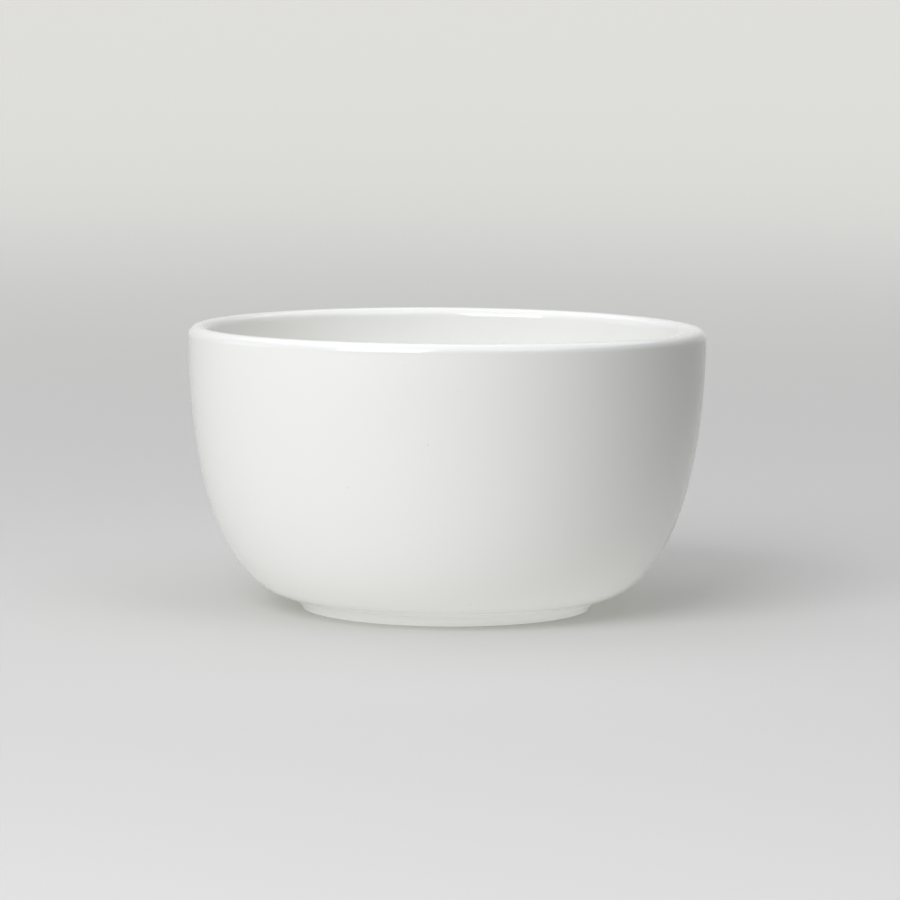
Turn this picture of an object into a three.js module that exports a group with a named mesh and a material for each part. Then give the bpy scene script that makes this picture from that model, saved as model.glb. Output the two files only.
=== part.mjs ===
// A plain white porcelain bowl with a round lip and a short, sloping foot.
// Millimetres, +Z up. The origin is the centre of the foot, on the surface that the bowl stands on.
import * as THREE from 'three';

const degrees = THREE.MathUtils.degToRad;

// Driving dimensions of the finished, glazed bowl
const rimDiameter = 130;
const bowlHeight = 71.1;
const wallThickness = 4.8;
const floorThickness = 4.6;
const glazeThickness = 0.3;

// Foot: a ring with a sloping flank, around a shallow recess, wiped clear of glaze up to the bare height
const footDiameter = 71.9;
const footHeight = 3;
const footSlope = degrees(45);
const footRingWidth = 4.6;
const recessDepth = 3;
const recessSlope = degrees(60);
const bareHeight = 0.3;

// Rounds: the hollow crease above the foot, the edges that the bowl stands on, the corner of the recess
const creaseRound = 1;
const bearingRound = 0.5;
const recessRound = 1.5;

// Wall curve: it leaves the crease at a slope and ends upright at the lip. A fullness is the share of the
// span, outwards for the belly and downwards for the flank, along which the curve holds its direction.
const creaseSlope = degrees(10.7);
const bellyFullness = 0.853;
const flankFullness = 0.347;
const floorBendSlope = degrees(45);

// Fineness of the facets
const turnSegments = 48;
const wallSteps = 12;
const lipSteps = 6;
const bendSteps = 4;
const roundSteps = 2;

// Headings of the outline, which is walked with the porcelain on its left: from the middle of the recess,
// under the foot, up the outside, over the lip and down the inside to the middle of the floor
const quarterTurn = degrees(90);
const halfTurn = degrees(180);
const outwards = 0;
const upright = quarterTurn;
const inwards = halfTurn;
const downwards = halfTurn + quarterTurn;

const rimRadius = rimDiameter / 2;
const footRadius = footDiameter / 2;
const recessMouthRadius = footRadius - footRingWidth;
const lipRadius = wallThickness / 2;
const floorHeight = recessDepth + floorThickness;
const recessTopRadius = recessMouthRadius - recessDepth / Math.tan(recessSlope);

const crease = new THREE.Vector2(footRadius + footHeight / Math.tan(footSlope), footHeight);
const lipStart = new THREE.Vector2(rimRadius, bowlHeight - lipRadius);

function direction(heading) {
  return new THREE.Vector2(Math.cos(heading), Math.sin(heading));
}

// The normal of the surface, to the right of the heading and so away from the porcelain
function normal(heading) {
  return new THREE.Vector2(Math.sin(heading), -Math.cos(heading));
}

// A station is a point of the outline with the heading that the outline has there
function station(radius, height, heading) {
  return { point: new THREE.Vector2(radius, height), heading };
}

// The points of a stretch of outline, moved by a depth into the porcelain
function pointsAtDepth(stations, depth) {
  return stations.map(({ point, heading }) => point.clone().addScaledVector(normal(heading), -depth));
}

// An arc that leaves a point and turns between two headings: left round an edge, right in a hollow
function arc(start, radius, fromHeading, toHeading, steps) {
  const side = Math.sign(toHeading - fromHeading);
  const centre = start.clone().addScaledVector(normal(fromHeading), -side * radius);
  return Array.from({ length: steps + 1 }, (_, step) => {
    const heading = THREE.MathUtils.lerp(fromHeading, toHeading, step / steps);
    return { point: centre.clone().addScaledVector(normal(heading), side * radius), heading };
  });
}

// The arc that rounds the corner where two straight stretches meet
function roundedCorner(corner, radius, fromHeading, toHeading) {
  const reach = radius * Math.tan(Math.abs(toHeading - fromHeading) / 2);
  const start = corner.clone().addScaledVector(direction(fromHeading), -reach);
  return arc(start, radius, fromHeading, toHeading, roundSteps);
}

// The outside of the wall, from the crease to the start of the lip
function outerWall(start) {
  const outSpan = lipStart.x - start.x;
  const upSpan = lipStart.y - start.y;
  const bellyReach = new THREE.Vector2(outSpan, outSpan * Math.tan(creaseSlope));
  const curve = new THREE.CubicBezierCurve(
    start,
    start.clone().addScaledVector(bellyReach, bellyFullness),
    new THREE.Vector2(lipStart.x, lipStart.y - flankFullness * upSpan),
    lipStart,
  );
  return Array.from({ length: wallSteps + 1 }, (_, step) => {
    const tangent = curve.getTangent(step / wallSteps);
    return { point: curve.getPoint(step / wallSteps), heading: Math.atan2(tangent.y, tangent.x) };
  });
}

// The inside of the wall: an even wall under the lip, then one arc from the steep part into the flat floor
function innerWall(outside) {
  const even = outside
    .filter(({ heading }) => heading >= floorBendSlope)
    .map(({ point, heading }) => ({
      point: point.clone().addScaledVector(normal(heading), -wallThickness),
      heading: heading + halfTurn,
    }))
    .reverse();
  const last = even.at(-1);
  const bendRadius = (last.point.y - floorHeight) / (1 - Math.cos(last.heading - inwards));
  const bend = arc(last.point, bendRadius, last.heading, inwards, bendSteps);
  return [...even, ...bend.slice(1), station(0, floorHeight, inwards)];
}

// The glazed surface from the foot's flank over the lip to the middle of the floor
function mainSurface() {
  const flankEnd = station(footRadius + bareHeight / Math.tan(footSlope), bareHeight, footSlope);
  const creaseArc = roundedCorner(crease, creaseRound, footSlope, creaseSlope);
  const outside = outerWall(creaseArc.at(-1).point);
  const lip = arc(lipStart, lipRadius, upright, downwards, lipSteps);
  return [flankEnd, ...creaseArc, ...outside.slice(1), ...lip.slice(1), ...innerWall(outside).slice(1)];
}

// The glazed surface from the middle of the recess to the inner side of the foot ring
function recessSurface() {
  const corner = new THREE.Vector2(recessTopRadius, recessDepth);
  const ringSide = recessMouthRadius - bareHeight / Math.tan(recessSlope);
  return [
    station(0, recessDepth, outwards),
    ...roundedCorner(corner, recessRound, outwards, -recessSlope),
    station(ringSide, bareHeight, -recessSlope),
  ];
}

// The bare ring that the bowl stands on, flat between two rounded edges of the porcelain
function bearingRing() {
  const inner = new THREE.Vector2(recessMouthRadius + glazeThickness / Math.sin(recessSlope), 0);
  const outer = new THREE.Vector2(footRadius - glazeThickness / Math.sin(footSlope), 0);
  return [
    ...roundedCorner(inner, bearingRound, -recessSlope, outwards),
    ...roundedCorner(outer, bearingRound, outwards, footSlope),
  ];
}

// A solid of revolution whose outline starts and ends on the axis, turned about +Y and then stood on +Z
function turned(name, outline, material) {
  const geometry = new THREE.LatheGeometry(outline, turnSegments).rotateX(quarterTurn);
  const mesh = new THREE.Mesh(geometry, material);
  mesh.name = name;
  return mesh;
}

const main = mainSurface();
const recess = recessSurface();
const underMainGlaze = pointsAtDepth(main, glazeThickness);
const underRecessGlaze = pointsAtDepth(recess, glazeThickness);

// Wall, floor and foot ring, moulded and fired in one
const porcelainBody = turned(
  'porcelain_body',
  [...underRecessGlaze, ...pointsAtDepth(bearingRing(), 0), ...underMainGlaze],
  new THREE.MeshStandardMaterial({ color: 0xefece5, roughness: 0.8, metalness: 0 }),
);

// One coat from just above the bearing ring, up the outside, over the lip and across the floor
const mainGlaze = turned(
  'main_glaze',
  [...underMainGlaze.toReversed(), ...pointsAtDepth(main, 0)],
  new THREE.MeshStandardMaterial({ color: 0xf1f1ee, roughness: 0.12, metalness: 0 }),
);

// The coat inside the recess, parted from the main one by the bare ring
const recessGlaze = turned(
  'recess_glaze',
  [...pointsAtDepth(recess, 0), ...underRecessGlaze.toReversed()],
  new THREE.MeshStandardMaterial({ color: 0xefefeb, roughness: 0.16, metalness: 0 }),
);

const bowl = new THREE.Group();
bowl.add(porcelainBody, mainGlaze, recessGlaze);

export default bowl;
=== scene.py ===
"""Looks of a plain white porcelain bowl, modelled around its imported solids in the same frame, in metres."""

import logging
import math
from collections.abc import Sequence
from dataclasses import dataclass
from enum import Enum
from itertools import pairwise

import bpy
from mathutils import Matrix, Vector


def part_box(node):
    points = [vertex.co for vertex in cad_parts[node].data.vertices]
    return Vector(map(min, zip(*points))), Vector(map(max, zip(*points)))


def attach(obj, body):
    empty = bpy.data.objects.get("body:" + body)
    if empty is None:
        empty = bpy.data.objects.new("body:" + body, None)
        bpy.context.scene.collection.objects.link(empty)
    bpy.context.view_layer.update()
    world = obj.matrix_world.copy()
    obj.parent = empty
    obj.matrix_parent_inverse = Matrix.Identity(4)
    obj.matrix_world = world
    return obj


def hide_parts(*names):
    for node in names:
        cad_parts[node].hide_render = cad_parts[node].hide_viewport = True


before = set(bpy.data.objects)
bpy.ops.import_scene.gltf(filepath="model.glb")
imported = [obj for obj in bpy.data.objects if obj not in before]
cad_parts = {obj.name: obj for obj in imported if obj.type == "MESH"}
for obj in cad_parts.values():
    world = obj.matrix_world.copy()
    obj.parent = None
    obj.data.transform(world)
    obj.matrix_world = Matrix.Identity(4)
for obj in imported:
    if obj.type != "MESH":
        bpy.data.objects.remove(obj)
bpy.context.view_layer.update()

LOG = logging.getLogger("bowl")
BODY = "root"

OUTWARDS = 0.0
UPRIGHT = math.radians(90)
INWARDS = math.radians(180)
DOWNWARDS = math.radians(270)
HALF_TURN = math.radians(180)

Colour = tuple[float, float, float, float]


class Node(Enum):
    """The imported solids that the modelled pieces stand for."""

    PORCELAIN_BODY = "porcelain_body"
    MAIN_GLAZE = "main_glaze"
    RECESS_GLAZE = "recess_glaze"


class Slot(Enum):
    """The record's material slots."""

    PORCELAIN = "porcelain"
    WHITE_GLAZE = "white_glaze"


@dataclass(frozen=True)
class Station:
    """A point of the bowl's half outline, with the direction in which the outline runs there.

    The outline is walked with the porcelain on its left, so the surface faces to the right of the heading.
    """

    radius: float
    height: float
    heading: float

    def moved(self, direction: float, distance: float) -> "Station":
        """Moves the station in the plane of the outline.

        Args:
            direction: Angle of the move, from outwards.
            distance: Length of the move, in metres.

        Returns:
            The moved station, with its own heading.
        """
        return Station(
            self.radius + distance * math.cos(direction),
            self.height + distance * math.sin(direction),
            self.heading,
        )

    def at_depth(self, depth: float) -> "Station":
        """The station below this one, by a depth into the porcelain."""
        return self.moved(self.heading + UPRIGHT, depth)


def arc(start: Station, radius: float, to_heading: float, steps: int) -> list[Station]:
    """Walks an arc, left round an edge or right in a hollow.

    Args:
        start: Where the arc starts, and the heading that it starts with.
        radius: Radius of the arc.
        to_heading: Heading at the end of the arc.
        steps: Number of straight steps.

    Returns:
        The stations of the arc, with its start and end.
    """
    left = math.copysign(1.0, to_heading - start.heading)
    centre = start.moved(start.heading + UPRIGHT, left * radius)
    stations = []
    for step in range(steps + 1):
        heading = start.heading + (to_heading - start.heading) * step / steps
        rim = centre.moved(heading - UPRIGHT, left * radius)
        stations.append(Station(rim.radius, rim.height, heading))
    return stations


def rounded_corner(corner: Station, radius: float, to_heading: float, steps: int) -> list[Station]:
    """Rounds the corner where two straight stretches of the outline meet.

    Args:
        corner: The sharp corner, with the heading before it.
        radius: Radius of the round.
        to_heading: Heading after the corner.
        steps: Number of straight steps.

    Returns:
        The stations of the round.
    """
    reach = radius * math.tan(abs(to_heading - corner.heading) / 2)
    return arc(corner.moved(corner.heading, -reach), radius, to_heading, steps)


@dataclass(frozen=True)
class BowlOutline:
    """Sizes of the finished, glazed bowl, and the stretches of its half outline.

    The toe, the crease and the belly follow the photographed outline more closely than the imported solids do,
    by a few tenths of a millimetre.
    """

    rim_radius: float
    bowl_height: float
    wall_thickness: float = 0.0048
    floor_thickness: float = 0.0046
    glaze_thickness: float = 0.0003
    foot_radius: float = 0.03595
    foot_height: float = 0.003
    foot_slope: float = math.radians(45)
    foot_ring_width: float = 0.0046
    recess_depth: float = 0.003
    recess_slope: float = math.radians(60)
    bare_height: float = 0.0003
    crease_round: float = 0.003
    toe_height: float = 0.0009
    toe_slope: float = math.radians(62)
    toe_clearance: float = 0.00003
    toe_round: float = 0.00035
    toe_bend_round: float = 0.0015
    bearing_round: float = 0.0005
    recess_round: float = 0.0015
    crease_slope: float = math.radians(10.7)
    belly_fullness: float = 0.835
    flank_fullness: float = 0.347
    floor_bend_slope: float = math.radians(45)
    wall_steps: int = 48
    lip_steps: int = 24
    bend_steps: int = 16
    round_steps: int = 8

    @property
    def floor_height(self) -> float:
        """Height of the flat floor inside the bowl."""
        return self.recess_depth + self.floor_thickness

    @property
    def recess_mouth_radius(self) -> float:
        """Radius of the recess where its side would meet the table."""
        return self.foot_radius - self.foot_ring_width

    @property
    def crease(self) -> Station:
        """The sharp corner between the foot's flank and the wall."""
        reach = self.foot_height / math.tan(self.foot_slope)
        return Station(self.foot_radius + reach, self.foot_height, self.foot_slope)

    @property
    def lip_crown(self) -> Station:
        """The highest point of the round lip."""
        return Station(self.rim_radius - self.wall_thickness / 2, self.bowl_height, INWARDS)

    @property
    def lip_start(self) -> Station:
        """Where the upright wall runs into the round lip."""
        return Station(self.rim_radius, self.bowl_height - self.wall_thickness / 2, UPRIGHT)

    def outer_wall(self, start: Station) -> list[Station]:
        """Walks the outside of the wall on one cubic curve.

        Args:
            start: The upper end of the crease.

        Returns:
            Stations from the crease up to the lip.
        """
        end = self.lip_start
        out_span = end.radius - start.radius
        belly = Vector((out_span, out_span * math.tan(self.crease_slope))) * self.belly_fullness
        flank = Vector((0.0, end.height - start.height)) * self.flank_fullness
        first = Vector((start.radius, start.height))
        last = Vector((end.radius, end.height))
        pulls = (first, first + belly, last - flank, last)
        legs = [after - before for before, after in pairwise(pulls)]
        stations = []
        for step in range(self.wall_steps + 1):
            t = step / self.wall_steps
            s = 1 - t
            point = s**3 * pulls[0] + 3 * s * s * t * pulls[1] + 3 * s * t * t * pulls[2] + t**3 * pulls[3]
            run = s * s * legs[0] + 2 * s * t * legs[1] + t * t * legs[2]
            stations.append(Station(point.x, point.y, math.atan2(run.y, run.x)))
        return stations

    def inner_wall(self, outside: Sequence[Station]) -> list[Station]:
        """Walks down the inside: an even wall, then one arc into the flat floor.

        Args:
            outside: Stations of the outer wall, from the crease up.

        Returns:
            Stations from under the lip to the edge of the flat floor.
        """
        steep = [one for one in reversed(outside) if one.heading >= self.floor_bend_slope]
        even = [one.at_depth(self.wall_thickness) for one in steep]
        even = [Station(one.radius, one.height, one.heading + HALF_TURN) for one in even]
        fall = 1 - math.cos(even[-1].heading - INWARDS)
        bend_radius = (even[-1].height - self.floor_height) / fall
        return even + arc(even[-1], bend_radius, INWARDS, self.bend_steps)[1:]

    def toe(self) -> list[Station]:
        """Walks the full toe in which the main coat ends, from just clear of the table up into the flank.

        Returns:
            Stations of the rounded under edge and of the bend into the flank.
        """
        reach = self.toe_height / math.tan(self.foot_slope)
        join = Station(self.foot_radius + reach, self.toe_height, self.toe_slope)
        rise = self.toe_height - self.toe_clearance
        under = Station(join.radius - rise / math.tan(self.toe_slope), self.toe_clearance, OUTWARDS)
        return [
            *rounded_corner(under, self.toe_round, self.toe_slope, self.round_steps),
            *rounded_corner(join, self.toe_bend_round, self.foot_slope, self.round_steps),
        ]

    def main_surface(self) -> list[Station]:
        """Walks the glazed surface from the foot's toe over the lip.

        Returns:
            Stations from the toe to the edge of the flat floor inside.
        """
        crease = rounded_corner(self.crease, self.crease_round, self.crease_slope, self.round_steps)
        outside = self.outer_wall(crease[-1])
        lip = arc(self.lip_start, self.wall_thickness / 2, DOWNWARDS, self.lip_steps)
        return [*self.toe(), *crease, *outside[1:], *lip[1:], *self.inner_wall(outside)[1:]]

    def recess_surface(self) -> list[Station]:
        """Walks the glazed surface inside the recess.

        Returns:
            Stations from the edge of its flat top down to the side of the foot ring.
        """
        top_radius = self.recess_mouth_radius - self.recess_depth / math.tan(self.recess_slope)
        corner = Station(top_radius, self.recess_depth, OUTWARDS)
        side_radius = self.recess_mouth_radius - self.bare_height / math.tan(self.recess_slope)
        side_end = Station(side_radius, self.bare_height, -self.recess_slope)
        return [*rounded_corner(corner, self.recess_round, -self.recess_slope, self.round_steps), side_end]

    def bearing_ring(self) -> list[Station]:
        """Walks the bare porcelain that the bowl stands on.

        Returns:
            Stations of two rounded edges, with the flat between them.
        """
        inner_radius = self.recess_mouth_radius + self.glaze_thickness / math.sin(self.recess_slope)
        outer_radius = self.foot_radius - self.glaze_thickness / math.sin(self.foot_slope)
        inner = Station(inner_radius, 0.0, -self.recess_slope)
        outer = Station(outer_radius, 0.0, OUTWARDS)
        return [
            *rounded_corner(inner, self.bearing_round, OUTWARDS, self.round_steps),
            *rounded_corner(outer, self.bearing_round, self.foot_slope, self.round_steps),
        ]


def deselect_everything() -> None:
    """Leaves nothing selected and no object in edit mode."""
    if bpy.context.mode != "OBJECT":
        bpy.ops.object.mode_set(mode="OBJECT")
    bpy.ops.object.select_all(action="DESELECT")


def turned_piece(name: str, rings: Sequence[Station], segments: int) -> bpy.types.Object:
    """Models a closed solid of revolution: a disc whose edge is drawn out ring by ring and closed by a disc.

    Args:
        name: Name of the piece.
        rings: Stations of the rings, from the edge of the first disc to the edge of the last.
        segments: Number of segments round the axis.

    Returns:
        The new object, at the origin.
    """
    deselect_everything()
    first = rings[0]
    bpy.ops.mesh.primitive_circle_add(
        vertices=segments,
        radius=first.radius,
        fill_type="TRIFAN",
        enter_editmode=True,
        location=(0.0, 0.0, first.height),
    )
    piece = bpy.context.object
    piece.name = name
    piece.data.name = name
    bpy.ops.mesh.region_to_loop()
    for before, after in pairwise(rings):
        rise = (0.0, 0.0, after.height - before.height)
        spread = after.radius / before.radius
        bpy.ops.mesh.extrude_region_move(TRANSFORM_OT_translate={"value": rise})
        bpy.ops.transform.resize(value=(spread, spread, 1.0))
    bpy.ops.mesh.extrude_region_move(TRANSFORM_OT_translate={"value": (0.0, 0.0, 0.0)})
    bpy.ops.mesh.merge(type="CENTER")
    bpy.ops.mesh.select_all(action="SELECT")
    bpy.ops.mesh.normals_make_consistent(inside=False)
    bpy.ops.object.mode_set(mode="OBJECT")
    bpy.ops.object.transform_apply(location=True, rotation=True, scale=True)
    return piece


def smoothed(piece: bpy.types.Object, sharp_angle: float) -> None:
    """Shades a piece smooth, apart from its sharp edges.

    Args:
        piece: The piece to shade.
        sharp_angle: Angle between faces from which an edge is sharp.
    """
    deselect_everything()
    piece.select_set(True)
    bpy.context.view_layer.objects.active = piece
    bpy.ops.object.shade_smooth_by_angle(angle=sharp_angle)


@dataclass(frozen=True)
class FiringWarp:
    """The slight warp of the kiln: the rim stands a little high in front and behind, and low at the sides.

    The four upper corners of a square cage, which points its corners along the axes, carry the rim with them.
    """

    reach: float
    height: float
    front_rise: float = 0.00047
    back_rise: float = 0.0003
    right_drop: float = 0.00054
    left_drop: float = 0.00027

    def cage(self) -> bpy.types.Object:
        """Makes the cage, with its upper corners moved.

        Returns:
            The cage's object.
        """
        deselect_everything()
        eighth_turn = UPRIGHT / 2
        middle = (0.0, 0.0, self.height / 2)
        bpy.ops.object.add(type="LATTICE", location=middle, rotation=(0.0, 0.0, eighth_turn))
        cage = bpy.context.object
        cage.name = "firing_warp_cage"
        cage.scale = (2 * self.reach, 2 * self.reach, self.height)
        lattice = cage.data
        lattice.interpolation_type_u = "KEY_LINEAR"
        lattice.interpolation_type_v = "KEY_LINEAR"
        lattice.interpolation_type_w = "KEY_LINEAR"
        lifts = {
            (True, True): self.back_rise,
            (False, False): self.front_rise,
            (True, False): -self.right_drop,
            (False, True): -self.left_drop,
        }
        for point in lattice.points:
            if point.co.z > 0:
                point.co_deform.z += lifts[point.co.x > 0, point.co.y > 0] / self.height
        return cage

    def bend(self, piece: bpy.types.Object) -> None:
        """Warps a piece and takes the cage away again.

        Args:
            piece: The piece to warp, at the origin.
        """
        cage = self.cage()
        deselect_everything()
        piece.select_set(True)
        bpy.context.view_layer.objects.active = piece
        bpy.ops.object.modifier_add(type="LATTICE")
        warp = piece.modifiers[-1]
        warp.object = cage
        bpy.context.view_layer.update()
        bpy.ops.object.modifier_apply(modifier=warp.name)
        bpy.data.lattices.remove(cage.data)


class NodeBench:
    """Lays nodes in one tree and wires them."""

    def __init__(self, tree: bpy.types.NodeTree) -> None:
        """Starts with an empty tree.

        Args:
            tree: The node tree of a material, world or group.
        """
        self.tree = tree
        tree.nodes.clear()

    def add(self, kind: str, settings: dict | None = None, inputs: dict | None = None) -> bpy.types.Node:
        """Adds a node.

        Args:
            kind: The node's type name.
            settings: Properties of the node.
            inputs: Values or sockets for its inputs, by name or number.

        Returns:
            The new node.
        """
        node = self.tree.nodes.new(kind)
        for key, value in (settings or {}).items():
            setattr(node, key, value)
        for key, value in (inputs or {}).items():
            if isinstance(value, bpy.types.NodeSocket):
                self.tree.links.new(value, node.inputs[key])
            else:
                node.inputs[key].default_value = value
        return node

    def math(self, operation: str, *values: float | bpy.types.NodeSocket) -> bpy.types.NodeSocket:
        """Adds a math node and gives its result.

        Args:
            operation: The operation's name.
            values: Numbers or sockets, in order.

        Returns:
            The node's output.
        """
        return self.add("ShaderNodeMath", {"operation": operation}, dict(enumerate(values))).outputs[0]

    def mixed(
        self,
        share: bpy.types.NodeSocket,
        first: Colour | bpy.types.NodeSocket,
        second: Colour | bpy.types.NodeSocket,
    ) -> bpy.types.NodeSocket:
        """Mixes two colours.

        Args:
            share: How much of the second colour there is.
            first: The first colour.
            second: The second colour.

        Returns:
            The mixed colour.
        """
        mix = self.add("ShaderNodeMix", {"data_type": "RGBA"}, {"Factor": share})
        for key, value in (("A_Color", first), ("B_Color", second)):
            socket = next(one for one in mix.inputs if one.identifier == key)
            if isinstance(value, bpy.types.NodeSocket):
                self.tree.links.new(value, socket)
            else:
                socket.default_value = value
        return next(one for one in mix.outputs if one.identifier == "Result_Color")

    def eased(
        self,
        value: bpy.types.NodeSocket,
        start: float,
        end: float | bpy.types.NodeSocket,
        before: float,
        after: float,
    ) -> bpy.types.NodeSocket:
        """Eases from one number to another along a stretch of a value.

        Args:
            value: The value that is followed.
            start: Where the stretch starts.
            end: Where the stretch ends.
            before: The number up to the start.
            after: The number from the end on.

        Returns:
            The eased number.
        """
        inputs = {"Value": value, "From Min": start, "From Max": end, "To Min": before, "To Max": after}
        return self.add("ShaderNodeMapRange", {"interpolation_type": "SMOOTHSTEP"}, inputs).outputs[0]

    def seen(self) -> bpy.types.NodeSocket:
        """Tells what the camera, gloss and glass see from what lights a matte surface.

        Returns:
            One for a seen ray, and zero for the rest.
        """
        path = self.add("ShaderNodeLightPath").outputs
        mirrored = self.math("ADD", path["Is Glossy Ray"], path["Is Transmission Ray"])
        return self.math("MINIMUM", self.math("ADD", path["Is Camera Ray"], mirrored), 1.0)

    def fired_surface(
        self,
        ripple: bpy.types.Node,
        roughness: tuple[float, float],
        relief: float,
        inputs: dict,
    ) -> None:
        """Adds the shader of a fired surface, whose roughness and relief follow its ripple.

        Args:
            ripple: The placed ripple effect.
            roughness: The lowest and the highest roughness.
            relief: Height of the ripple, in metres.
            inputs: The shader's other inputs.
        """
        spread = {"Value": ripple.outputs["Tone"], "To Min": roughness[0], "To Max": roughness[1]}
        rough = self.add("ShaderNodeMapRange", None, spread).outputs[0]
        waves = {"Height": ripple.outputs["Height"], "Distance": relief}
        bump = self.add("ShaderNodeBump", None, waves).outputs[0]
        shader = self.add("ShaderNodeBsdfPrincipled", None, {**inputs, "Roughness": rough, "Normal": bump})
        self.add("ShaderNodeOutputMaterial", None, {"Surface": shader.outputs[0]})


class EffectGroup:
    """A shader node group, built once and placed in each material that uses it."""

    def __init__(self, name: str, inputs: dict[str, float], outputs: Sequence[str]) -> None:
        """Makes the group with its sockets.

        Args:
            name: Name of the group.
            inputs: Names of its number inputs, with their usual values.
            outputs: Names of its number outputs.
        """
        self.tree = bpy.data.node_groups.new(name, "ShaderNodeTree")
        self.bench = NodeBench(self.tree)
        self.tree.interface.new_socket("Position", in_out="INPUT", socket_type="NodeSocketVector")
        for key, value in inputs.items():
            socket = self.tree.interface.new_socket(key, in_out="INPUT", socket_type="NodeSocketFloat")
            socket.default_value = value
        for key in outputs:
            self.tree.interface.new_socket(key, in_out="OUTPUT", socket_type="NodeSocketFloat")
        self.entry = self.bench.add("NodeGroupInput").outputs
        self.exit = self.bench.add("NodeGroupOutput").inputs

    def gives(self, key: str, socket: bpy.types.NodeSocket) -> None:
        """Wires a value to one of the group's outputs."""
        self.tree.links.new(socket, self.exit[key])

    def placed(self, bench: NodeBench, position: bpy.types.NodeSocket, **inputs: float) -> bpy.types.Node:
        """Places the group in a material.

        Args:
            bench: The material's nodes.
            position: The coordinates that the effect reads.
            inputs: Values for the group's inputs, with underscores for spaces.

        Returns:
            The group node.
        """
        values = {key.replace("_", " "): value for key, value in inputs.items()}
        settings = {"node_tree": self.tree}
        return bench.add("ShaderNodeGroup", settings, {"Position": position, **values})


def ring_fade_group() -> EffectGroup:
    """Builds a mask along a ring, for glaze that has run together and for a ring of painted shade.

    Returns:
        The group, whose mask fades with the distance from the ring.
    """
    group = EffectGroup("ring_fade", {"Radius": 0.04, "Height": 0.0, "Width": 0.002}, ["Mask"])
    bench = group.bench
    xyz = bench.add("ShaderNodeSeparateXYZ", None, {0: group.entry["Position"]}).outputs
    squares = [bench.math("MULTIPLY", one, one) for one in xyz[:2]]
    across = bench.math("SQRT", bench.math("ADD", *squares))
    out = bench.math("SUBTRACT", across, group.entry["Radius"])
    up = bench.math("SUBTRACT", xyz[2], group.entry["Height"])
    squared = bench.math("ADD", bench.math("MULTIPLY", out, out), bench.math("MULTIPLY", up, up))
    spread = bench.math("DIVIDE", squared, bench.math("MULTIPLY", group.entry["Width"], group.entry["Width"]))
    group.gives("Mask", bench.math("EXPONENT", bench.math("MULTIPLY", spread, -1.0)))
    return group


def speck_group() -> EffectGroup:
    """Builds the effect of pinholes and iron specks.

    Returns:
        The group, whose mask holds a few small round marks, each in its own cell.
    """
    smallest = 0.3
    group = EffectGroup("specks", {"Spacing": 0.006, "Size": 0.0003, "Share": 0.5}, ["Mask"])
    bench = group.bench
    scale = bench.math("DIVIDE", 1.0, group.entry["Spacing"])
    cells = bench.add("ShaderNodeTexVoronoi", None, {"Vector": group.entry["Position"], "Scale": scale})
    distance = bench.math("MULTIPLY", cells.outputs["Distance"], group.entry["Spacing"])
    rgb = bench.add("ShaderNodeSeparateColor", None, {0: cells.outputs["Color"]}).outputs
    size = bench.math("MULTIPLY", group.entry["Size"], bench.math("ADD", rgb[1], smallest))
    depth = bench.eased(distance, start=0.0, end=size, before=1.0, after=0.0)
    chosen = bench.math("LESS_THAN", rgb[0], group.entry["Share"])
    group.gives("Mask", bench.math("MULTIPLY", depth, chosen))
    return group


def ripple_group() -> EffectGroup:
    """Builds the effect of the slight waves of a fired surface.

    Returns:
        The group, which puts out slow swells with a fine grain as a height, and the swells alone as a tone.
    """
    group = EffectGroup("ripple", {"Swell": 0.016, "Grain": 0.0012, "Grain Share": 0.1}, ["Height", "Tone"])
    bench = group.bench
    swell_scale = bench.math("DIVIDE", 1.0, group.entry["Swell"])
    grain_scale = bench.math("DIVIDE", 1.0, group.entry["Grain"])
    position = group.entry["Position"]
    swell = bench.add("ShaderNodeTexNoise", None, {"Vector": position, "Scale": swell_scale, "Detail": 1.0})
    grain = bench.add("ShaderNodeTexNoise", None, {"Vector": position, "Scale": grain_scale, "Detail": 2.0})
    fine = bench.math("MULTIPLY", grain.outputs[0], group.entry["Grain Share"])
    group.gives("Height", bench.math("ADD", swell.outputs[0], fine))
    group.gives("Tone", swell.outputs[0])
    return group


@dataclass(frozen=True)
class Effects:
    """The shared effects of the finishes."""

    # fades along a ring: used for glaze pooling and for a ring of painted shade
    pool: EffectGroup
    specks: EffectGroup
    ripple: EffectGroup


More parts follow.
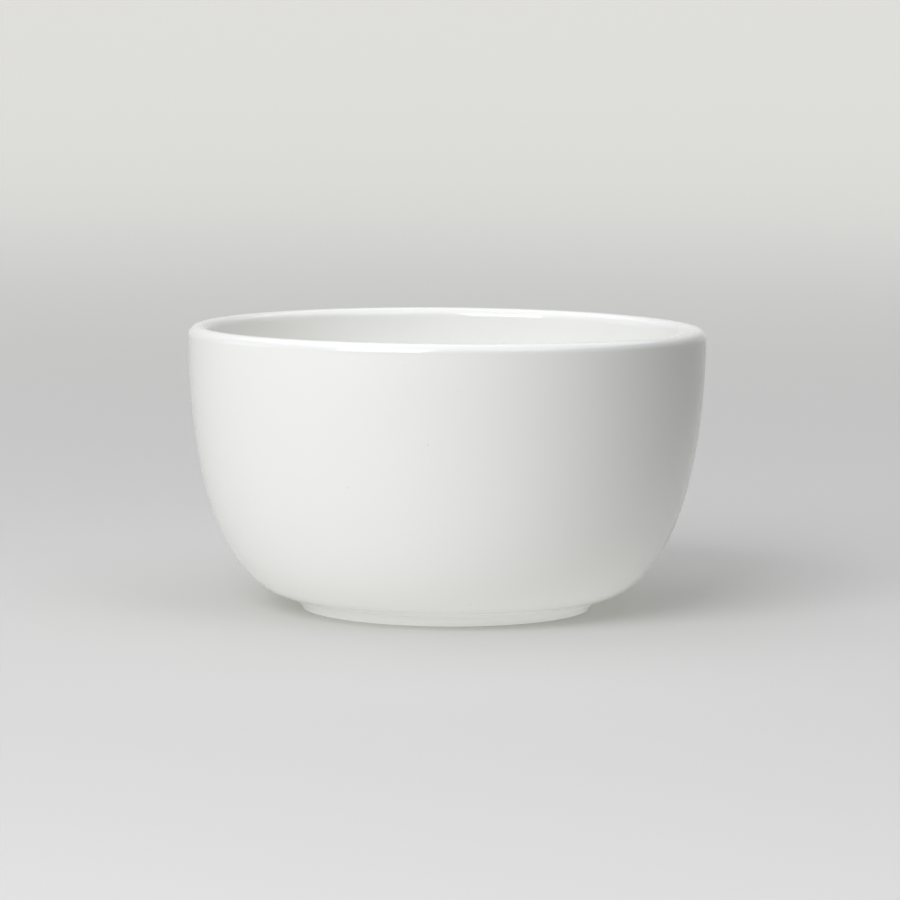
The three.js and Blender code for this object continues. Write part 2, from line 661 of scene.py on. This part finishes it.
@dataclass(frozen=True)
class WhiteGlaze:
    """Clear gloss glaze over white porcelain.

    It is near white, a little warmer where it has pooled, with a few specks, and greyer along a second ring:
    painted shade, which on the bowl dims the lip crown.
    """

    name: str
    pool_radius: float
    pool_height: float
    painted_shade_radius: float
    painted_shade_height: float
    pool_width: float = 0.0022
    painted_shade_width: float = 0.0026
    white: Colour = (0.88, 0.882, 0.845, 1.0)
    shade: Colour = (0.87, 0.872, 0.835, 1.0)
    pooled: Colour = (0.86, 0.863, 0.82, 1.0)
    # painted shade: the greyer colour along the second ring, which dims the lip crown under the lamps
    painted_shade: Colour = (0.832, 0.834, 0.806, 1.0)
    speck: Colour = (0.5, 0.47, 0.42, 1.0)
    speck_spacing: float = 0.0052
    speck_size: float = 0.00032
    speck_share: float = 0.6
    speck_strength: float = 0.45
    roughness: tuple[float, float] = (0.035, 0.055)
    wave_height: float = 0.000008
    ior: float = 1.5

    def material(self, effects: Effects) -> bpy.types.Material:
        """Makes the material.

        Args:
            effects: The shared node groups.

        Returns:
            The new material.
        """
        made = bpy.data.materials.new(self.name)
        made.use_nodes = True
        bench = NodeBench(made.node_tree)
        position = bench.add("ShaderNodeTexCoord").outputs["Object"]
        ripple = effects.ripple.placed(bench, position)
        pool = effects.pool.placed(
            bench, position, Radius=self.pool_radius, Height=self.pool_height, Width=self.pool_width
        )
        # a ring of painted shade, along the lip crown on the bowl
        painted_shade_ring = effects.pool.placed(
            bench, position, Radius=self.painted_shade_radius, Height=self.painted_shade_height, Width=self.painted_shade_width
        )
        specks = effects.specks.placed(
            bench, position, Spacing=self.speck_spacing, Size=self.speck_size, Share=self.speck_share
        )
        mottled = bench.mixed(ripple.outputs["Tone"], self.white, self.shade)
        # mixes in the painted shade along its ring
        with_painted_shade = bench.mixed(painted_shade_ring.outputs["Mask"], mottled, self.painted_shade)
        tinted = bench.mixed(pool.outputs["Mask"], with_painted_shade, self.pooled)
        faint = bench.math("MULTIPLY", specks.outputs["Mask"], self.speck_strength)
        colour = bench.mixed(faint, tinted, self.speck)
        inputs = {"Base Color": colour, "IOR": self.ior}
        bench.fired_surface(ripple, self.roughness, self.wave_height, inputs)
        return made


@dataclass(frozen=True)
class BarePorcelain:
    """Unglazed fired porcelain: off-white, matte and finely grained, rubbed a little grey in use."""

    name: str
    clean: Colour = (0.86, 0.845, 0.81, 1.0)
    shade: Colour = (0.83, 0.812, 0.775, 1.0)
    rubbed: Colour = (0.66, 0.645, 0.615, 1.0)
    speck_spacing: float = 0.0026
    speck_size: float = 0.00045
    speck_share: float = 0.5
    rub_strength: float = 0.6
    swell: float = 0.006
    grain: float = 0.0004
    grain_share: float = 0.6
    roughness: tuple[float, float] = (0.68, 0.85)
    grain_height: float = 0.00006

    def material(self, effects: Effects) -> bpy.types.Material:
        """Makes the material.

        Args:
            effects: The shared node groups.

        Returns:
            The new material.
        """
        made = bpy.data.materials.new(self.name)
        made.use_nodes = True
        bench = NodeBench(made.node_tree)
        position = bench.add("ShaderNodeTexCoord").outputs["Object"]
        ripple = effects.ripple.placed(
            bench, position, Swell=self.swell, Grain=self.grain, Grain_Share=self.grain_share
        )
        specks = effects.specks.placed(
            bench, position, Spacing=self.speck_spacing, Size=self.speck_size, Share=self.speck_share
        )
        mottled = bench.mixed(ripple.outputs["Tone"], self.clean, self.shade)
        rub = bench.math("MULTIPLY", specks.outputs["Mask"], self.rub_strength)
        colour = bench.mixed(rub, mottled, self.rubbed)
        bench.fired_surface(ripple, self.roughness, self.grain_height, {"Base Color": colour})
        return made


@dataclass
class Bowl:
    """The fired bowl: its porcelain body and the two coats of glaze on it."""

    outline: BowlOutline
    segments: int = 192
    edge_steps: int = 6
    sharp_angle: float = math.radians(50)

    def porcelain_body(self) -> bpy.types.Object:
        """Models wall, floor and foot ring in one, under the glaze and bare at the ring.

        Returns:
            The body's object.
        """
        under_recess = [one.at_depth(self.outline.glaze_thickness) for one in self.outline.recess_surface()]
        under_main = [one.at_depth(self.outline.glaze_thickness) for one in self.outline.main_surface()]
        rings = [*under_recess, *self.outline.bearing_ring(), *under_main]
        return turned_piece("porcelain_body_fired", rings, self.segments)

    def main_coat(self) -> bpy.types.Object:
        """Models the coat from the foot's toe over the lip to the floor, with a rounded lower edge.

        Returns:
            The coat's object.
        """
        surface = self.outline.main_surface()
        back = self.turned_back(surface)
        edge = arc(back[-1], self.outline.glaze_thickness / 2, back[-1].heading + HALF_TURN, self.edge_steps)
        return turned_piece("main_glaze_coat", [*back, *edge[1:-1], *surface], self.segments)

    def recess_coat(self) -> bpy.types.Object:
        """Models the coat inside the recess, with a rounded lower edge.

        Returns:
            The coat's object.
        """
        surface = self.outline.recess_surface()
        last = surface[-1]
        edge = arc(last, self.outline.glaze_thickness / 2, last.heading + HALF_TURN, self.edge_steps)
        return turned_piece(
            "recess_glaze_coat", [*surface, *edge[1:-1], *self.turned_back(surface)], self.segments
        )

    def turned_back(self, surface: Sequence[Station]) -> list[Station]:
        """The underside of a coat, walked the other way.

        Args:
            surface: Stations of the coat's glazed surface.

        Returns:
            Stations at the depth of the glaze, in the other order.
        """
        under = [one.at_depth(self.outline.glaze_thickness) for one in reversed(surface)]
        return [Station(one.radius, one.height, one.heading + HALF_TURN) for one in under]

    def finish(self, piece: bpy.types.Object, material: bpy.types.Material, node: Node) -> None:
        """Dresses a piece and puts it in the place of its solid.

        Args:
            piece: The modelled piece.
            material: Its finish.
            node: The solid that it stands for.
        """
        FiringWarp(self.outline.rim_radius, self.outline.bowl_height).bend(piece)
        smoothed(piece, self.sharp_angle)
        piece.data.materials.clear()
        piece.data.materials.append(material)
        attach(piece, BODY)
        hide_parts(node.value)
        LOG.info("%s stands for %s with %d faces", piece.name, node.value, len(piece.data.polygons))

    def build(self) -> None:
        """Models and dresses the three pieces."""
        effects = Effects(ring_fade_group(), speck_group(), ripple_group())
        crease = self.outline.crease
        crown = self.outline.lip_crown
        mouth = self.outline.recess_mouth_radius
        depth = self.outline.recess_depth
        # the glaze pools along the crease, and a ring of painted shade greys the lip crown
        main = WhiteGlaze("bowl_gloss_glaze", crease.radius, crease.height, crown.radius, crown.height)
        # in the recess the glaze pools near its top, and a ring of painted shade greys its lower edge
        recess = WhiteGlaze("recess_gloss_glaze", mouth, depth, mouth, 0.0)
        bare = BarePorcelain("bare_porcelain").material(effects)
        self.finish(self.porcelain_body(), bare, Node.PORCELAIN_BODY)
        self.finish(self.main_coat(), main.material(effects), Node.MAIN_GLAZE)
        self.finish(self.recess_coat(), recess.material(effects), Node.RECESS_GLAZE)


@dataclass(frozen=True)
class SoftBox:
    """A soft studio lamp, aimed at the bowl from a direction."""

    name: str
    turn: float
    rise: float
    width: float
    height: float
    power: float
    distance: float = 1.5
    colour: tuple[float, float, float] = (0.955, 0.962, 1.0)
    aim: tuple[float, float, float] = (0.0, 0.0, 0.045)

    def place(self) -> None:
        """Adds the lamp to the scene."""
        flat = self.distance * math.cos(self.rise)
        up = self.distance * math.sin(self.rise)
        way = Vector((-flat * math.sin(self.turn), -flat * math.cos(self.turn), up))
        light = bpy.data.lights.new(self.name, "AREA")
        light.shape = "RECTANGLE"
        light.size = self.width
        light.size_y = self.height
        light.energy = self.power
        light.color = self.colour
        lamp = bpy.data.objects.new(self.name, light)
        lamp.location = Vector(self.aim) + way
        lamp.rotation_euler = (-way).to_track_quat("-Z", "Y").to_euler()
        bpy.context.scene.collection.objects.link(lamp)


@dataclass(frozen=True)
class LightTable:
    """Pale paper on a lit table.

    The camera and the gloss see the paper, and matte surfaces get the table's soft light.
    """

    name: str
    paper: Colour = (0.632, 0.628, 0.604, 1.0)
    paper_roughness: float = 0.9
    paper_specular: float = 0.2
    light: Colour = (0.983, 0.983, 0.985, 1.0)
    glow_strength: float = 0.86
    glow_centre: tuple[float, float, float] = (-0.325, -0.02, 0.0)
    lit_reach: float = 0.38
    dark_reach: float = 0.58
    backdrop_glow: float = 0.85
    backdrop_start: float = 0.1
    backdrop_end: float = 2.6

    def material(self) -> bpy.types.Material:
        """Makes the material.

        Returns:
            The new material.
        """
        made = bpy.data.materials.new(self.name)
        made.use_nodes = True
        bench = NodeBench(made.node_tree)
        position = bench.add("ShaderNodeTexCoord").outputs["Object"]
        paper = bench.add(
            "ShaderNodeBsdfPrincipled",
            None,
            {
                "Base Color": self.paper,
                "Roughness": self.paper_roughness,
                "Specular IOR Level": self.paper_specular,
                "Emission Color": self.paper,
                "Emission Strength": self.backdrop(bench, position),
            },
        )
        glow = self.glow(bench, position)
        lit = bench.add("ShaderNodeEmission", None, {"Color": self.light, "Strength": glow})
        shaders = {0: bench.seen(), 1: lit.outputs[0], 2: paper.outputs[0]}
        mix = bench.add("ShaderNodeMixShader", None, shaders)
        bench.add("ShaderNodeOutputMaterial", None, {"Surface": mix.outputs[0]})
        return made

    def glow(self, bench: NodeBench, position: bpy.types.NodeSocket) -> bpy.types.NodeSocket:
        """The table's light: an even round under the bowl and to the left of it, which fades at its edge.

        Args:
            bench: The material's nodes.
            position: Coordinates on the table.

        Returns:
            The strength of the light.
        """
        distance = bench.add(
            "ShaderNodeVectorMath", {"operation": "DISTANCE"}, {0: position, 1: self.glow_centre}
        ).outputs["Value"]
        return bench.eased(distance, self.lit_reach, self.dark_reach, before=self.glow_strength, after=0.0)

    def backdrop(self, bench: NodeBench, position: bpy.types.NodeSocket) -> bpy.types.NodeSocket:
        """The paleness of the paper far from the bowl, which the lamps hardly reach.

        Args:
            bench: The material's nodes.
            position: Coordinates on the table and its sweep.

        Returns:
            The strength of the paper's own tone.
        """
        away = bench.add("ShaderNodeVectorMath", {"operation": "LENGTH"}, {0: position}).outputs["Value"]
        return bench.eased(away, self.backdrop_start, self.backdrop_end, before=0.0, after=self.backdrop_glow)


@dataclass
class Studio:
    """Plain pale floor with a sweep behind it, and soft lamps."""

    floor_half_width: float = 4.0
    floor_front: float = -3.0
    floor_back: float = 3.0
    sweep_height: float = 3.0
    sweep_round: float = 1.2
    sweep_steps: int = 16
    haze: Colour = (1.0, 0.995, 0.96, 1.0)
    haze_low: float = 0.56
    haze_high: float = 0.15
    haze_start: float = 0.1
    haze_end: float = 0.45
    key: SoftBox = SoftBox("key_softbox", math.radians(30), math.radians(32), 1.0, 0.9, 14.8)
    overhead: SoftBox = SoftBox("overhead_softbox", 0.0, math.radians(90), 3.2, 3.2, 38.8)
    right: SoftBox = SoftBox("right_softbox", math.radians(-40), math.radians(46), 0.7, 0.7, 1.0)
    left: SoftBox = SoftBox("left_softbox", math.radians(100), math.radians(12), 0.8, 0.5, 0.9)

    def floor(self) -> None:
        """Models the floor and its sweep."""
        deselect_everything()
        bpy.ops.mesh.primitive_plane_add(size=1.0, enter_editmode=True)
        floor = bpy.context.object
        floor.name = "studio_floor"
        depth = self.floor_back - self.floor_front
        middle = (self.floor_back + self.floor_front) / 2
        bpy.ops.transform.resize(value=(2 * self.floor_half_width, depth, 1.0))
        bpy.ops.transform.translate(value=(0.0, middle, 0.0))
        self.select_back_edge(floor, middle)
        bpy.ops.mesh.extrude_region_move(TRANSFORM_OT_translate={"value": (0.0, 0.0, self.sweep_height)})
        self.select_back_edge(floor, middle)
        bpy.ops.mesh.bevel(offset=self.sweep_round, segments=self.sweep_steps, affect="EDGES")
        smoothed(floor, UPRIGHT)
        floor.data.materials.append(LightTable("table_paper").material())

    def select_back_edge(self, floor: bpy.types.Object, middle: float) -> None:
        """Selects the floor's back edge on the ground, and leaves the mesh in edit mode.

        Args:
            floor: The floor's object.
            middle: Depth past which an edge is a back edge.
        """
        bpy.ops.mesh.select_all(action="DESELECT")
        bpy.ops.mesh.select_mode(type="EDGE")
        bpy.ops.object.mode_set(mode="OBJECT")
        for edge in floor.data.edges:
            ends = [floor.data.vertices[index].co for index in edge.vertices]
            edge.select = all(end.y > middle and end.z < self.sweep_height / 2 for end in ends)
        bpy.ops.object.mode_set(mode="EDIT")

    def room(self) -> None:
        """Makes the room past the paper, which only the camera and the gloss see: pale at the horizon."""
        world = bpy.data.worlds.new("studio_room")
        bpy.context.scene.world = world
        world.use_nodes = True
        bench = NodeBench(world.node_tree)
        direction = bench.add("ShaderNodeTexCoord").outputs["Generated"]
        rise = bench.add("ShaderNodeSeparateXYZ", None, {0: direction}).outputs[2]
        pale = bench.eased(rise, self.haze_start, self.haze_end, before=self.haze_low, after=self.haze_high)
        strength = bench.math("MULTIPLY", pale, bench.seen())
        light = bench.add("ShaderNodeBackground", None, {"Color": self.haze, "Strength": strength})
        bench.add("ShaderNodeOutputWorld", None, {"Surface": light.outputs[0]})

    def build(self) -> None:
        """Sets up floor, room and lamps."""
        self.floor()
        self.room()
        for lamp in (self.key, self.overhead, self.right, self.left):
            lamp.place()
        LOG.info("studio is set up")


@dataclass(frozen=True)
class PhotoCamera:
    """The photograph's view: a long lens, a little above the rim."""

    distance: float = 1.0297
    height: float = 0.14765
    pitch: float = 0.10456
    yaw: float = 0.00082
    roll: float = 0.00698
    focal_pixels: float = 4109.25
    picture_pixels: float = 900.0
    sensor: float = 36.0

    def place(self) -> None:
        """Adds the camera and makes it the scene's."""
        lens = bpy.data.cameras.new("photo_camera")
        lens.sensor_width = self.sensor
        lens.lens = self.focal_pixels / self.picture_pixels * self.sensor
        camera = bpy.data.objects.new("photo_camera", lens)
        turn = Matrix.Rotation(-self.yaw, 4, "Z")
        tilt = Matrix.Rotation(UPRIGHT - self.pitch, 4, "X")
        lean = Matrix.Rotation(self.roll, 4, "Z")
        camera.matrix_world = Matrix.Translation((0.0, -self.distance, self.height)) @ turn @ tilt @ lean
        bpy.context.scene.collection.objects.link(camera)
        bpy.context.scene.camera = camera


def write_sizes() -> None:
    """Updates the view layer."""
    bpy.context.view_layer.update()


def main() -> None:
    """Builds the view, the studio and the bowl."""
    logging.basicConfig(level=logging.INFO, format="%(name)s: %(message)s")
    bpy.context.scene.view_settings.view_transform = "Standard"
    PhotoCamera().place()
    Studio().build()
    coat_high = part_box(Node.MAIN_GLAZE.value)[1]
    Bowl(BowlOutline(rim_radius=coat_high.x, bowl_height=coat_high.z)).build()
    write_sizes()


if __name__ == "__main__":
    main()
